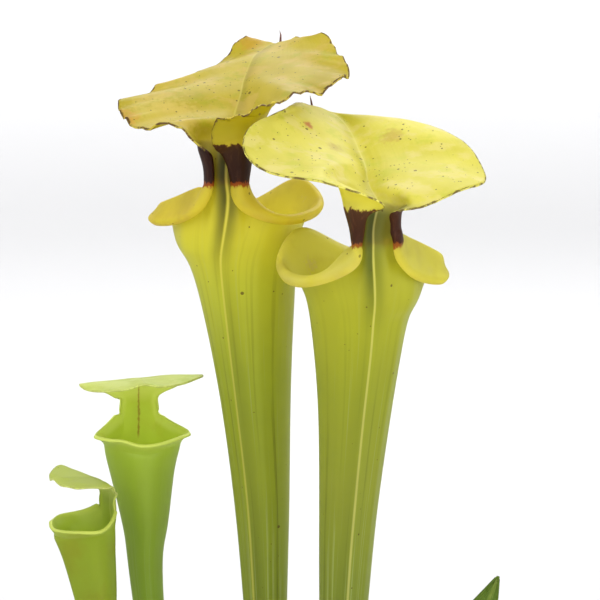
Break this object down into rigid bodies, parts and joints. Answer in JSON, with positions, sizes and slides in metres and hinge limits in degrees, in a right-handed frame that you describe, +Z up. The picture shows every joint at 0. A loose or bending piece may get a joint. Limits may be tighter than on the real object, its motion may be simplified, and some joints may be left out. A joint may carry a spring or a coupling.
{
  "type": "potted pitcher plant",
  "caption": "Clump of upright yellow trumpet pitchers with rolled lips and broad lids, young green pitchers and a sword leaf, in a plain round pot with soil.",
  "frame": {"origin": "middle of the pot's underside, on the ground", "axes": "+Z up; the tall pitchers turn their backs to -Y, the small one its front to -Y; +X to the right when seen from -Y"},
  "size_m": [0.2022, 0.1619, 0.5473],
  "materials": {
    "pot": "dark, slightly worn",
    "soil": "peat with grit and moss",
    "ochre_pitcher": "waxy leaf, ochre lid, green tube",
    "lemon_pitcher": "waxy leaf, pale lemon lid, green tube",
    "young_pitcher": "waxy fresh green leaf",
    "far_pitcher": "waxy fresh green leaf",
    "flat_leaf": "plain green leaf"
  },
  "bodies": {
    "root": {"pot": "pot", "soil": "soil", "pitcher_tall_left": "ochre_pitcher", "pitcher_tall_right": "lemon_pitcher", "pitcher_small": "young_pitcher", "pitcher_far_left": "far_pitcher", "leaf_flat": "flat_leaf"}
  },
  "joints": []
}
